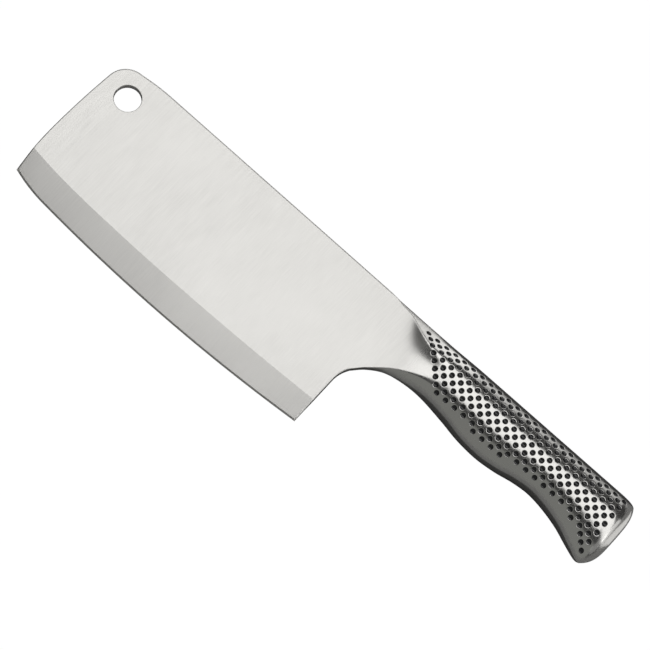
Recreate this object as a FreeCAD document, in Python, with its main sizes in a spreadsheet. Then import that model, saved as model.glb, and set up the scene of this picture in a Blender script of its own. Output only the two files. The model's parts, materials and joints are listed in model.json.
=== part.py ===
import FreeCAD, Part
import Sketcher
import math
import os

# Meat cleaver, all steel, lying on its right cheek.
# Design frame (millimetres): the heel corner of the edge is the origin, X runs from the
# tip to the butt, Y from the cutting edge to the spine, Z out of the left cheek.
# The mid-plane of the blade and of the handle is Z = 0.  At the end every piece gets the
# same Placement, which lays the cleaver down on a table with Z up.

DIMS = {
    # blade
    "blade_thick": 3.5,
    "edge_radius": 846.5,
    "tip_sweep_radius": 77.0,
    "front_low_radius": 160.0,
    "front_high_radius": 394.0,
    "nose_radius": 10.2,
    "spine_rise_radius": 105.0,
    "notch_radius": 15.0,
    "hole_x": -147.1,
    "hole_y": 55.9,
    "hole_radius": 6.0,
    "hole_chamfer": 0.23,
    "bevel_edge_half": 0.2,
    "micro_bevel_width": 0.8,
    "micro_edge_half": 0.04,
    # neck, where the blade swells into the handle
    "neck_start": 2.0,
    "neck_end": 11.8,
    "weld_width": 1.2,
    "neck_step": 0.05,
    "neck_slope": 0.30,
    "neck_ease": 14.0,
    "dish_growth": 0.0152,
    "dish_foot_y": 48.0,
    "dish_span": 14.0,
    "dish_power": 2.7,
    "dish_reach": 15.0,
    "reach_power": 6.0,
    "crease_power": 16.0,
    "soft_power": 7.0,
    # handle
    "crown_y": 54.5,
    "spine_y": 68.8,
    "half_depth": 11.0,
    "square_power": 1.9,
    "spine_facet": 1.2,
    "belly_facet": 1.35,
    "oval_power": 2.0,
    "butt_x": 132.1,
    "butt_mid_y": 51.0,
    "butt_half_y": 18.0,
    "butt_drop_spine": 3.7,
    "butt_drop_belly": 6.2,
    "butt_round": 9.0,
    "tuck_spine": 1.2,
    "tuck_belly": 1.6,
    "wall": 1.2,
    "seam_half": 0.5,
    "tang_end": 35.0,
    "tang_low": 47.0,
    "tang_high": 62.0,
    "tang_half": 1.2,
    "plug_radius": 2.5,
    "plug_length": 6.0,
    "sand_level": -1.6,
    "sand_gap": 0.15,
    # dimples
    "pit_first_x": 16.3,
    "pit_pitch": 4.93,
    "pit_top_y": 65.2,
    "pit_last_x": 126.2,
    "pit_radius": 1.15,
    "pit_depth": 0.45,
    "enamel_top": 0.17,
    "enamel_foot": 0.42,
    # resting place
    "rest_tilt": 2.6,
}

# Corners of the blade outline: name, x, y, and the radius cell and side of the arc that
# leads to the next corner (side 1 bulges to the right of the way round, 0 is a line).
BLADE_OUTLINE = [
    ("heel_foot", -0.3, -1.29, None, 0),
    ("heel_top", -0.4, 23.0, "notch_radius", -1),
    ("neck_low", 2.0, 31.0, None, 0),
    ("neck_high", 2.0, 68.85, None, 0),
    ("spine_front", -133.0, 69.4, "spine_rise_radius", 1),
    ("nose_back", -150.0, 68.2, "nose_radius", 1),
    ("nose_front", -160.1, 58.8, "front_high_radius", 1),
    ("front_mid", -161.75, 24.0, "front_low_radius", 1),
    ("tip", -160.0, 0.4, "tip_sweep_radius", 1),
    ("sweep_end", -142.0, -3.09, "edge_radius", 1),
]

# The belly of the handle: x and y of the points that its long wave passes through.
BELLY = [
    (2.0, 31.1), (6.2, 35.6), (13.0, 39.9), (21.0, 41.9), (31.0, 42.5), (45.0, 41.0),
    (55.0, 39.3), (66.0, 38.7), (76.0, 39.8), (84.0, 41.5), (92.0, 42.3), (101.0, 41.3),
    (110.0, 39.1), (118.0, 36.1), (126.0, 33.3), (132.0, 31.6),
]

# Grinding line of the blade: x, y of the edge and y of the shoulder line above it.
BEVEL = [
    (-168.0, 2.6, 13.0), (-142.0, -3.1, 10.1), (-112.0, -4.7, 8.9),
    (-82.0, -5.25, 8.6), (-41.0, -4.25, 9.2), (4.0, -0.6, 10.9),
]

# Stations of the sections along X: those of the neck before its end, and those of the
# handle after its front end and before the rounded butt.
NECK_STATIONS = [1.0, 2.5, 4.0, 6.5, 9.0]
HANDLE_STATIONS = [15.0, 17.0, 20.0, 24.0, 28.0, 33.0, 39.0, 46.0, 55.0, 66.0, 76.0, 85.0,
                   93.0, 101.0]
BUTT_START = 106.0
SECTION_POINTS = 28

# Stretches of X over which the section changes: it gains its spine and belly facets, loses
# them again, and its crease softens.
SPINE_FACET_IN = (2.0, 8.0)
SPINE_FACET_OUT = (18.0, 46.0)
BELLY_FACET_IN = (2.0, 16.0)
BELLY_FACET_OUT = (20.0, 50.0)
CREASE_OUT = (12.0, 34.0)

# Dimple rows that reach further down the belly: row number and its range along X.
LOW_ROWS = [(9, 58.0, 76.0), (9, 112.0, 127.0), (10, 119.0, 127.0), (11, 122.0, 127.0),
            (12, 125.0, 127.0)]
FULL_ROWS = 9
DIMPLE_ROWS = 13

# How far cutting boxes reach past the shape that they cut.
MARGIN = 20.0

doc = FreeCAD.newDocument("cleaver")
sheet = doc.addObject("Spreadsheet::Sheet", "Dims")


def fill_sheet():
    """Write every driving dimension into the sheet, one aliased cell each."""
    rows = dict(DIMS)
    for name, x, y, _, _ in BLADE_OUTLINE:
        rows[name + "_x"] = x
        rows[name + "_y"] = y
    for row, (alias, value) in enumerate(rows.items(), start=1):
        sheet.set("A%d" % row, alias)
        sheet.set("B%d" % row, str(value))
        sheet.setAlias("B%d" % row, alias)
    doc.recompute()


def dim(alias):
    return float(sheet.get(alias))


def vec(x, y, z=0.0):
    return FreeCAD.Vector(x, y, z)


# ---------------------------------------------------------------- handle surface

def hermite(points, x):
    """Smooth curve through points, read at x."""
    last = len(points) - 2
    index = 0
    while index < last and x > points[index + 1][0]:
        index += 1
    x0, y0 = points[index]
    x1, y1 = points[index + 1]

    def slope(i):
        low = max(i - 1, 0)
        high = min(i + 1, len(points) - 1)
        return (points[high][1] - points[low][1]) / (points[high][0] - points[low][0])

    span = x1 - x0
    t = (x - x0) / span
    a = 2 * t ** 3 - 3 * t ** 2 + 1
    b = t ** 3 - 2 * t ** 2 + t
    c = -2 * t ** 3 + 3 * t ** 2
    d = t ** 3 - t ** 2
    return a * y0 + b * span * slope(index) + c * y1 + d * span * slope(index + 1)


def blend(x, start, end):
    """0 before start, 1 after end, and an S-curve between."""
    t = min(max((x - start) / (end - start), 0.0), 1.0)
    return t * t * (3 - 2 * t)


def soft_min(a, b, power):
    if a <= 0 or b <= 0:
        return 0.0
    return (a ** -power + b ** -power) ** (-1.0 / power)


def oval_height(x, y, inset):
    """Half depth of the handle's own oval at (x, y), drawn inwards by inset."""
    half_depth = dim("half_depth") - inset
    if y >= dim("crown_y"):
        half = dim("spine_y") - inset - dim("crown_y")
        facet, facet_in, facet_out = dim("spine_facet"), SPINE_FACET_IN, SPINE_FACET_OUT
    else:
        half = dim("crown_y") - hermite(BELLY, x) - inset
        facet, facet_in, facet_out = dim("belly_facet"), BELLY_FACET_IN, BELLY_FACET_OUT
    power = dim("square_power")
    power += (facet - power) * blend(x, *facet_in)
    power += (dim("oval_power") - facet) * blend(x, *facet_out)
    v = abs(y - dim("crown_y")) / half
    if v >= 1.0:
        return 0.0
    return half_depth * (1 - v ** power) ** (1 / power)


def cove_height(x, y, inset):
    """Height of the ground cove that runs from the cheek up into the handle."""
    ahead = max(x - dim("neck_start"), 0.0)
    ease = dim("neck_ease")
    slope = dim("neck_slope")
    if ahead < ease:
        rise = slope * ahead ** 2 / (2 * ease)
    else:
        rise = slope * (ahead - ease / 2)
    up = max(y - dim("dish_foot_y"), 0.0) / dim("dish_span")
    reach = soft_min(ahead, dim("dish_reach"), dim("reach_power"))
    dish = dim("dish_growth") * reach ** 2 * up ** dim("dish_power")
    return dim("blade_thick") / 2 - dim("neck_step") + rise + dish - inset


def surface_height(x, y, inset):
    power = dim("crease_power")
    power += (dim("soft_power") - power) * blend(x, *CREASE_OUT)
    return soft_min(oval_height(x, y, inset), cove_height(x, y, inset), power)


def butt_line(y, inset):
    """X of the butt outline at y."""
    v = (y - dim("butt_mid_y")) / dim("butt_half_y")
    drop = dim("butt_drop_spine") if v > 0 else dim("butt_drop_belly")
    return dim("butt_x") - inset - drop * v ** 4


def straight_section(x, inset):
    """Half section at x, from the spine round the left side to the belly."""
    top = dim("spine_y") - inset
    bottom = hermite(BELLY, x) + inset
    crown = dim("crown_y")
    points = []
    for i in range(SECTION_POINTS + 1):
        turn = math.cos(math.pi * i / SECTION_POINTS)
        y = crown + turn * (top - crown if turn > 0 else crown - bottom)
        z = surface_height(x, y, inset)
        if i in (0, SECTION_POINTS):
            z = 0.0
        points.append(vec(x, y, z))
    return points


def butt_section(part, inset):
    """Curved section of the rounded butt: part goes from 0, straight, to 1, its outline."""
    start = BUTT_START
    span = dim("butt_x") - inset - start
    left = (1 - part) * span
    round_length = dim("butt_round")
    depth = 1.0
    if left < round_length:
        depth = math.sqrt(max(1 - (1 - left / round_length) ** 2, 0.0))
    tuck = (1 - depth) ** 2
    top = dim("spine_y") - inset - dim("tuck_spine") * tuck
    crown = dim("crown_y")
    bottom = hermite(BELLY, start) + inset
    for _ in range(8):
        x_end = start + part * (butt_line(bottom, inset) - start)
        bottom = hermite(BELLY, x_end) + inset + dim("tuck_belly") * tuck
    points = []
    for i in range(SECTION_POINTS + 1):
        turn = math.cos(math.pi * i / SECTION_POINTS)
        y = crown + turn * (top - crown if turn > 0 else crown - bottom)
        x = start + part * (butt_line(y, inset) - start)
        ring = math.sqrt(max(1 - turn * turn, 0.0))
        z = (dim("half_depth") - inset) * ring * depth
        if i in (0, SECTION_POINTS) or part == 1.0:
            z = 0.0
        points.append(vec(x, y, z))
    return points


def section_wire(points):
    """Smooth wire through the points, with the same even parameters for every section."""
    shares = [i / (len(points) - 1) for i in range(len(points))]
    curve = Part.BSplineCurve()
    curve.interpolate(Points=points, Parameters=shares)
    return Part.Wire([curve.toShape()])


def butt_parts(inset):
    """Shares of the way to the butt outline, closer together where it turns down."""
    span = dim("butt_x") - inset - BUTT_START
    round_share = dim("butt_round") / span
    parts = [0.0, (1 - round_share) * 0.5]
    steps = 7
    for i in range(steps + 1):
        parts.append(1 - round_share * (1 - math.sin(math.pi / 2 * i / steps)))
    return parts


def half_form(stations, inset, with_butt):
    """Closed solid of the left half of a stretch of neck or handle, drawn in by inset."""
    sections = [straight_section(x, inset) for x in stations]
    if with_butt:
        sections += [butt_section(part, inset) for part in butt_parts(inset)]
    skin = Part.makeLoft([section_wire(points) for points in sections], False, False)
    flat = [edge for edge in skin.Edges if edge.BoundBox.ZMax < 1e-4]
    faces = list(skin.Faces)
    ends = [sections[0]] if with_butt else [sections[0], sections[-1]]
    for points in ends:
        closing = Part.makeLine(points[0], points[-1])
        flat.append(closing)
        arch = [edge for edge in skin.Edges
                if abs(edge.BoundBox.XMin - points[0].x) < 1e-4
                and abs(edge.BoundBox.XMax - points[0].x) < 1e-4]
        faces.append(Part.Face(Part.Wire(Part.__sortEdges__(arch + [closing]))))
    faces.append(Part.Face(Part.Wire(Part.__sortEdges__(flat))))
    shell = Part.makeShell(faces)
    shell.sewShape()
    solid = Part.makeSolid(shell)
    solid.fix(1e-5, 1e-5, 1e-4)
    if solid.Volume < 0:
        solid.reverse()
    return solid


def mirrored(shape):
    return shape.mirror(vec(0, 0, 0), vec(0, 0, 1))


# ---------------------------------------------------------------- small helpers

def feature(name, shape):
    """Document object that holds a shape worked out from the sheet."""
    thing = doc.addObject("Part::Feature", name)
    thing.Shape = shape
    return thing


def origin_plane(body, role):
    for plane in body.Origin.OriginFeatures:
        if plane.Role == role:
            return plane
    raise ValueError(role)


def new_sketch(body, name, role, offset=None):
    sketch = body.newObject("Sketcher::SketchObject", name)
    sketch.AttachmentSupport = [(origin_plane(body, role), "")]
    sketch.MapMode = "FlatFace"
    if offset is not None:
        sketch.AttachmentOffset = FreeCAD.Placement(offset, FreeCAD.Rotation())
    return sketch


def bind(sketch, constraint, expression):
    """Add a constraint and drive its value from the sheet."""
    index = sketch.addConstraint(constraint)
    sketch.setExpression("Constraints[%d]" % index, expression)


def arc_centre(start, end, radius, side):
    """Centre of the arc of that radius from start to end, on the given side."""
    chord = end.sub(start)
    middle = (start + end) * 0.5
    away = math.sqrt(radius ** 2 - (chord.Length / 2) ** 2)
    across = vec(-chord.y, chord.x).normalize()
    return middle + across * (away * side)


# ---------------------------------------------------------------- blade

def blade_outline(body):
    """Closed outline of lines and arcs, each corner and radius driven by its cells."""
    sketch = new_sketch(body, "blade_outline", "XY_Plane")
    corners = [vec(dim(row[0] + "_x"), dim(row[0] + "_y")) for row in BLADE_OUTLINE]
    count = len(corners)
    for i, (_, _, _, radius_cell, side) in enumerate(BLADE_OUTLINE):
        start = corners[i]
        end = corners[(i + 1) % count]
        if radius_cell is None:
            sketch.addGeometry(Part.LineSegment(start, end), False)
            continue
        radius = dim(radius_cell)
        centre = arc_centre(start, end, radius, side)
        circle = Part.Circle(centre, vec(0, 0, 1), radius)
        first, last = (start, end) if side > 0 else (end, start)
        arc = Part.ArcOfCircle(circle, circle.parameter(first), circle.parameter(last))
        sketch.addGeometry(arc, False)

    def start_point(i):
        return 1 if BLADE_OUTLINE[i][4] >= 0 else 2

    for i, (name, _, _, radius_cell, side) in enumerate(BLADE_OUTLINE):
        following = (i + 1) % count
        end_point = 2 if side >= 0 else 1
        sketch.addConstraint(Sketcher.Constraint("Coincident", i, end_point, following,
                                                 start_point(following)))
        place = corners[i]
        across = Sketcher.Constraint("DistanceX", -1, 1, i, start_point(i), place.x)
        bind(sketch, across, "Dims." + name + "_x")
        upward = Sketcher.Constraint("DistanceY", -1, 1, i, start_point(i), place.y)
        bind(sketch, upward, "Dims." + name + "_y")
        if radius_cell is not None:
            size = Sketcher.Constraint("Radius", i, dim(radius_cell))
            bind(sketch, size, "Dims." + radius_cell)
    return sketch


def waste_profile(body, name, x, low, high):
    """Triangle of steel ground off at x, between the points low and high of the face."""
    slope = (high[1] - low[1]) / (high[0] - low[0])
    beyond = 2.0
    above = 0.5
    foot = vec(low[0] - beyond, low[1] - beyond * slope)
    head = vec(high[0] + above / slope, high[1] + above)
    corner = vec(foot.x, head.y)
    sketch = new_sketch(body, name, "YZ_Plane", vec(0, 0, x))
    for start, end in ((foot, head), (head, corner), (corner, foot)):
        sketch.addGeometry(Part.LineSegment(start, end), False)
    for i in range(3):
        sketch.addConstraint(Sketcher.Constraint("Coincident", i, 2, (i + 1) % 3, 1))
    return sketch


def grind(body, name, rows):
    """Grind one face of the edge away through its profiles."""
    sketches = []
    for i, (x, low, high) in enumerate(rows):
        sketches.append(waste_profile(body, "%s_profile_%d" % (name, i), x, low, high))
    cut = body.newObject("PartDesign::SubtractiveLoft", name)
    cut.Profile = sketches[0]
    cut.Sections = sketches[1:]
    doc.recompute()
    return cut


def make_blade():
    """Blade blank with its bevels, hanging hole, swelling neck and stub tang."""
    body = doc.addObject("PartDesign::Body", "blade_blank")
    pad = body.newObject("PartDesign::Pad", "blank")
    pad.Profile = blade_outline(body)
    pad.setExpression("Length", "Dims.blade_thick")
    pad.SideType = "Symmetric"
    doc.recompute()
    full = pad.Shape.Volume
    half = dim("blade_thick") / 2
    edge_half = dim("bevel_edge_half")
    micro = dim("micro_bevel_width")
    bevel_rows = []
    micro_rows = []
    for x, edge_y, shoulder_y in BEVEL:
        bevel_rows.append((x, (edge_y, edge_half), (shoulder_y, half)))
        rise = (half - edge_half) * micro / (shoulder_y - edge_y)
        micro_rows.append((x, (edge_y, dim("micro_edge_half")),
                           (edge_y + micro, edge_half + rise)))
    bevel = grind(body, "bevel", bevel_rows)
    micro_bevel = grind(body, "micro_bevel", micro_rows)
    mirror = body.newObject("PartDesign::Mirrored", "right_bevels")
    mirror.Originals = [bevel, micro_bevel]
    mirror.MirrorPlane = (origin_plane(body, "XY_Plane"), [""])
    body.Tip = mirror
    doc.recompute()
    ground = body.Shape.Volume
    print("blank", round(full), "ground", round(ground))
    hole_sketch = new_sketch(body, "hole_circle", "XY_Plane")
    middle = vec(dim("hole_x"), dim("hole_y"))
    hole_sketch.addGeometry(Part.Circle(middle, vec(0, 0, 1), dim("hole_radius")), False)
    bind(hole_sketch, Sketcher.Constraint("DistanceX", -1, 1, 0, 3, middle.x), "Dims.hole_x")
    bind(hole_sketch, Sketcher.Constraint("DistanceY", -1, 1, 0, 3, middle.y), "Dims.hole_y")
    bind(hole_sketch, Sketcher.Constraint("Radius", 0, dim("hole_radius")), "Dims.hole_radius")
    hole = body.newObject("PartDesign::Pocket", "hanging_hole")
    hole.Profile = hole_sketch
    hole.Type = "ThroughAll"
    hole.SideType = "Symmetric"
    doc.recompute()
    rims = [name for name, edge in zip(edge_names(hole.Shape), hole.Shape.Edges)
            if abs(edge.CenterOfMass.x - middle.x) < 0.01
            and abs(edge.CenterOfMass.y - middle.y) < 0.01]
    chamfer = body.newObject("PartDesign::Chamfer", "hole_chamfers")
    chamfer.Base = (hole, rims)
    chamfer.setExpression("Size", "Dims.hole_chamfer")
    doc.recompute()
    print("hole", round(ground - hole.Shape.Volume, 1), "rims", len(rims))
    neck_half = half_form(NECK_STATIONS + [dim("neck_end")], 0.0, False)
    neck = feature("neck_swelling", neck_half.fuse(mirrored(neck_half)))
    tang = doc.addObject("Part::Box", "stub_tang")
    tang.setExpression("Length", "Dims.tang_end - Dims.neck_end + 2")
    tang.setExpression("Width", "Dims.tang_high - Dims.tang_low")
    tang.setExpression("Height", "2 * Dims.tang_half")
    tang.setExpression("Placement.Base.x", "Dims.neck_end - 2")
    tang.setExpression("Placement.Base.y", "Dims.tang_low")
    tang.setExpression("Placement.Base.z", "-Dims.tang_half")
    swollen = doc.addObject("Part::Fuse", "swollen_blank")
    swollen.Base = body
    swollen.Tool = neck
    blade = doc.addObject("Part::Fuse", "blade")
    blade.Base = swollen
    blade.Tool = tang
    swollen.Refine = False
    blade.Refine = False
    return blade


def edge_names(shape):
    return ["Edge%d" % (i + 1) for i in range(len(shape.Edges))]


# ---------------------------------------------------------------- dimples

def row_place(x, distance):
    """Point of the skin that lies a distance along it below the top row of dimples."""
    step = -0.02
    y = dim("pit_top_y")
    gone = 0.0
    height = surface_height(x, y, 0.0)
    while gone < distance:
        y += step
        next_height = surface_height(x, y, 0.0)
        gone += math.hypot(step, next_height - height)
        height = next_height
    return vec(x, y, height)


def pit_places():
    """Centres of the dimples on the left skin: a square lattice set on its corner."""
    pitch = dim("pit_pitch")
    places = []
    for row in range(DIMPLE_ROWS):
        spans = [(0.0, dim("pit_last_x"))] if row < FULL_ROWS else \
            [(low, high) for number, low, high in LOW_ROWS if number == row]
        x = dim("pit_first_x") + (row * pitch / 2 if row < FULL_ROWS else (row % 2) * pitch / 2)
        while x <= dim("pit_last_x"):
            if any(low <= x <= high for low, high in spans):
                places.append(row_place(x, row * pitch / 2))
            x += pitch
    return places


def pit_ball_radius():
    radius = dim("pit_radius")
    depth = dim("pit_depth")
    return (radius ** 2 + depth ** 2) / (2 * depth)


def make_pits(solid):
    """Balls that press the dimples into a skin, and the enamel pads on their floors."""
    skin = max(solid.Faces, key=lambda face: face.Area)
    ball = pit_ball_radius()
    lift = ball - dim("pit_depth")
    foot = dim("enamel_foot")
    top = dim("enamel_top")
    foot_radius = math.sqrt(ball ** 2 - (lift + foot) ** 2)
    top_radius = math.sqrt(ball ** 2 - (lift + top) ** 2)
    balls = []
    pads = []
    for place in pit_places():
        u, v = skin.Surface.parameter(place)
        normal = skin.normalAt(u, v)
        touch = skin.Surface.value(u, v)
        balls.append(Part.makeSphere(ball, touch + normal * lift, normal))
        floor = touch - normal * foot
        pads.append(Part.makeCone(foot_radius, top_radius, foot - top, floor, normal))
    return balls, pads


# ---------------------------------------------------------------- assembly

def slab(z_low, z_high):
    """Box that spans the whole handle between two heights."""
    corner = vec(0, 0, z_low)
    return Part.makeBox(dim("butt_x") + MARGIN, dim("spine_y") + MARGIN, z_high - z_low, corner)


def plug_cylinder():
    """Bar through the butt, long enough to cross its wall."""
    length = dim("plug_length")
    start = vec(dim("butt_x") - length / 2, dim("butt_mid_y"), 0)
    return Part.makeCylinder(dim("plug_radius"), length, start, vec(1, 0, 0))


def make_handle():
    """Pressed halves, seam welds, neck weld, plug, enamel and sand."""
    wall = dim("wall")
    seam = dim("seam_half")
    front = dim("neck_end") + dim("weld_width")
    stations = [front] + HANDLE_STATIONS
    outer = half_form(stations, 0.0, True)
    inner = half_form(stations, wall, True)
    balls, pads = make_pits(outer)
    half = outer.cut(inner).cut(slab(-MARGIN, seam)).cut(plug_cylinder())
    left = half.cut(Part.makeCompound(balls))
    floors = [face for face in left.Faces if isinstance(face.Surface, Part.Sphere)]
    print("dimples", len(floors), "of", len(balls))
    feature("handle_shell_left", single(left))
    feature("handle_shell_right", single(mirrored(left)))
    feature("dimple_enamel_left", Part.makeCompound(pads))
    feature("dimple_enamel_right", mirrored(Part.makeCompound(pads)))
    strip = middle_face(outer).cut(middle_face(inner)).extrude(vec(0, 0, 2 * seam))
    strip.translate(vec(0, 0, -seam))
    ring = strip.cut(plug_cylinder())
    upper = slab(-MARGIN, MARGIN)
    upper.translate(vec(0, dim("butt_mid_y"), 0))
    feature("spine_seam_weld", single(ring.common(upper)))
    feature("belly_seam_weld", single(ring.cut(upper)))
    plug = plug_cylinder()
    body = outer.cut(inner)
    full_wall = body.fuse(mirrored(body))
    feature("fill_plug", single(plug.common(full_wall)))
    collar_stations = [dim("neck_end"), front]
    collar = half_form(collar_stations, 0.0, False).cut(half_form(collar_stations, wall, False))
    feature("neck_weld", single(collar.fuse(mirrored(collar)).removeSplitter()))
    cavity = mirrored(half_form(stations, wall + dim("sand_gap"), True))
    feature("balance_sand", single(cavity.cut(slab(dim("sand_level"), MARGIN))))


def middle_face(half):
    """Flat face of a half form, which lies in the mid-plane."""
    flat = [face for face in half.Faces if face.BoundBox.ZMax < 1e-4]
    return flat[0]


def single(shape):
    """The one solid of a shape that should hold just one."""
    solids = shape.Solids
    if len(solids) != 1:
        print("solids", len(solids), [round(solid.Volume, 2) for solid in solids])
    return solids[0] if len(solids) == 1 else shape


def lay_down(pieces):
    """Rest the cleaver on its right cheek: tip and handle touch the table, origin below."""
    tilt = FreeCAD.Rotation(vec(0, 1, 0), -dim("rest_tilt"))
    turned = FreeCAD.Placement(vec(0, 0, 0), tilt)
    box = FreeCAD.BoundBox()
    for piece in pieces:
        shape = piece.Shape.copy()
        shape.Placement = turned.multiply(shape.Placement)
        box.add(shape.optimalBoundingBox(False, False))
    shift = vec(-box.Center.x, -box.Center.y, -box.ZMin)
    place = FreeCAD.Placement(shift, tilt)
    for piece in pieces:
        piece.Placement = place.multiply(piece.Placement)
    print("size", round(box.XLength, 2), round(box.YLength, 2), round(box.ZLength, 2))
    print("shift", shift)
    return place


PIECES = ["blade", "handle_shell_left", "handle_shell_right", "spine_seam_weld",
          "belly_seam_weld", "neck_weld", "fill_plug", "dimple_enamel_left",
          "dimple_enamel_right", "balance_sand"]

fill_sheet()
make_blade()
make_handle()
doc.recompute()
pieces = [doc.getObject(name) for name in PIECES]
for piece in pieces:
    piece.Label = piece.Name
lay_down(pieces)
doc.recompute()

for thing in doc.Objects:
    if "Invalid" in thing.State or "Error" in thing.State:
        raise RuntimeError("failed: " + thing.Name)
os.makedirs("parts", exist_ok=True)
for piece in pieces:
    if piece.Shape.isNull() or not piece.Shape.isValid():
        raise RuntimeError("bad shape: " + piece.Name)
    piece.Shape.exportStep("parts/" + piece.Label + ".step")
    print(piece.Label, len(piece.Shape.Solids), round(piece.Shape.Volume, 1))
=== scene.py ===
import json
import math

import bpy
import numpy as np
from mathutils import Matrix, Vector
from mathutils.geometry import delaunay_2d_cdt


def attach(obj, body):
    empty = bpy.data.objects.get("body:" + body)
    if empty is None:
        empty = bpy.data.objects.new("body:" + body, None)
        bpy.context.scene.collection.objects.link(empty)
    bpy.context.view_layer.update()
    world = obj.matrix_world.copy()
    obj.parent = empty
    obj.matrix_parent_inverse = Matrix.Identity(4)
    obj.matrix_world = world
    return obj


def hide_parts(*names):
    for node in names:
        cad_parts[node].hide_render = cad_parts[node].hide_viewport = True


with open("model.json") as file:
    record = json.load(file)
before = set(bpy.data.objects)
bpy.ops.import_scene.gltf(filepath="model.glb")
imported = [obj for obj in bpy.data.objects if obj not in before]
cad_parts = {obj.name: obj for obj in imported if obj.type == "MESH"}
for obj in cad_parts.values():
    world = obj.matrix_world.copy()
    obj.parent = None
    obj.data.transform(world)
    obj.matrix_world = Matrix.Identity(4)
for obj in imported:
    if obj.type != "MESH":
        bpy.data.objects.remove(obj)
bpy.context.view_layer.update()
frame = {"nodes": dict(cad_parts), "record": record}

# ---------------- design frame
# The knife frame, in millimetres: X from tip to butt, Y from edge to spine, Z out of the
# left cheek, heel corner of the edge at the origin.  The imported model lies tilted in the
# row frame, and the hanging hole's mount says how.

MM = 0.001
HOLE = (-147.1, 55.9)
HOLE_RADIUS = 6.0
HOLE_CHAMFER = 0.23

mount = next(m for m in frame["record"]["mounts"] if m["name"] == "hanging_hole")
KNIFE_Z = np.array(mount["axis"], float)
KNIFE_Y = np.array([0.0, 1.0, 0.0])
KNIFE_X = np.cross(KNIFE_Y, KNIFE_Z)
AXES = np.column_stack([KNIFE_X, KNIFE_Y, KNIFE_Z])
ORIGIN = np.array(mount["pos_m"], float) - AXES @ (np.array([*HOLE, 0.0]) * MM)


def to_row(points):
    """Knife frame millimetres to row frame metres."""
    return np.asarray(points, float) * MM @ AXES.T + ORIGIN


# ---------------- dimensions

CHEEK = 1.75
SPINE_Y = 68.8
SPINE_STEP = 0.05
SPINE_SLOPE = 0.55 / 135
CROWN_Y = 54.5
HALF_DEPTH = 11.0
NECK_X = 2.0
NECK_SLOPE = 0.30
NECK_EASE = 14.0
DISH_GROWTH = 0.0152
DISH_FOOT_Y = 48.0
DISH_SPAN = 14.0
DISH_POWER = 2.7
DISH_REACH = 15.0
REACH_POWER = 6.0
CREASE_POWER = 16.0
SOFT_POWER = 7.0
SQUARE_POWER = 1.9
SPINE_FACET = 1.2
BELLY_FACET = 1.35
OVAL_POWER = 2.0
# Stretches of X over which the section gains its facets, loses them, and its crease softens.
SPINE_FACET_IN = (-9.0, 2.0)
SPINE_FACET_OUT = (18.0, 46.0)
BELLY_FACET_IN = (2.0, 16.0)
BELLY_FACET_OUT = (20.0, 50.0)
CREASE_OUT = (12.0, 34.0)
BUTT_START = 106.0
BUTT_X = 132.07
BUTT_MID_Y = 51.0
BUTT_HALF_Y = 18.0
BUTT_BELLY_Y = 32.0
DROP_SPINE = 3.7
DROP_BELLY = 6.2
BUTT_ROUND = 9.0
TUCK_SPINE = 1.2
TUCK_BELLY = 1.6

BELLY = np.array([
    (2.0, 31.1), (6.2, 35.6), (13.0, 39.9), (21.0, 41.9), (31.0, 42.5), (45.0, 41.0),
    (55.0, 39.3), (66.0, 38.7), (76.0, 39.8), (84.0, 41.5), (92.0, 42.3), (101.0, 41.3),
    (110.0, 39.1), (118.0, 36.1), (126.0, 33.3), (132.0, 31.6)])

NECK_END = 11.8
SHELL_START = 13.0
SEAM_HALF = 0.5

PIT_X = 16.3
PIT_TOP_Y = 65.2
PIT_PITCH = 4.93
PIT_STEP = PIT_PITCH / 2
PIT_LAST_X = 126.2
FULL_ROWS = 9
PIT_ROWS = 13
# Rows that reach further down the belly: row number and its range along X.
LOW_ROWS = ((9, 58.0, 76.0), (9, 112.0, 127.0), (10, 119.0, 127.0), (11, 122.0, 127.0),
            (12, 124.0, 127.0))
# Profiles of a dimple and of its enamel's front and back: distance from the axis and depth.
PIT_RINGS = ((0.0, 0.66), (0.55, 0.58), (0.90, 0.40), (1.05, 0.24), (1.12, 0.155),
             (1.19, 0.092), (1.26, 0.048), (1.33, 0.020), (1.41, 0.005), (1.50, 0.0))
ENAMEL_RINGS = ((0.0, 0.60), (0.25, 0.578), (0.50, 0.512), (0.75, 0.395), (0.95, 0.258),
                (1.10, 0.125), (1.21, 0.052))
ENAMEL_BACK = ((0.0, 0.65), (0.30, 0.63), (0.60, 0.54), (0.85, 0.40), (1.02, 0.25),
               (1.12, 0.140), (1.21, 0.052))


# Steps for slopes taken by difference: along X or Y, along the handle and round it.
SKIN_STEP = 0.01
GRIND_STEP = 0.05
PLUG_STEP = 0.02
ALONG_STEP = 0.02
TURN_STEP = 0.002
# Rounds of the loops that settle a value or close in on it.
RANGE_ROUNDS = 8
BUTT_ROUNDS = 6
HALVINGS = 30
# Smallest height or gap, sine and length that count as more than nothing.
TINY = 1e-6
FLAT_SINE = 1e-9
SHORTEST = 1e-12


# ---------------- handle surface

def curve_through(knots, x):
    """Smooth curve through knots, read at the values x."""
    kx, ky = knots[:, 0], knots[:, 1]
    last = len(kx) - 1
    index = np.arange(last + 1)
    low, high = np.maximum(index - 1, 0), np.minimum(index + 1, last)
    slope = (ky[high] - ky[low]) / (kx[high] - kx[low])
    i = np.clip(np.searchsorted(kx, x, side="left") - 1, 0, last - 1)
    span = kx[i + 1] - kx[i]
    t = (x - kx[i]) / span
    return ((2 * t ** 3 - 3 * t ** 2 + 1) * ky[i]
            + (t ** 3 - 2 * t ** 2 + t) * span * slope[i]
            + (3 * t ** 2 - 2 * t ** 3) * ky[i + 1]
            + (t ** 3 - t ** 2) * span * slope[i + 1])


def belly_y(x):
    return curve_through(BELLY, x)


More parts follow.
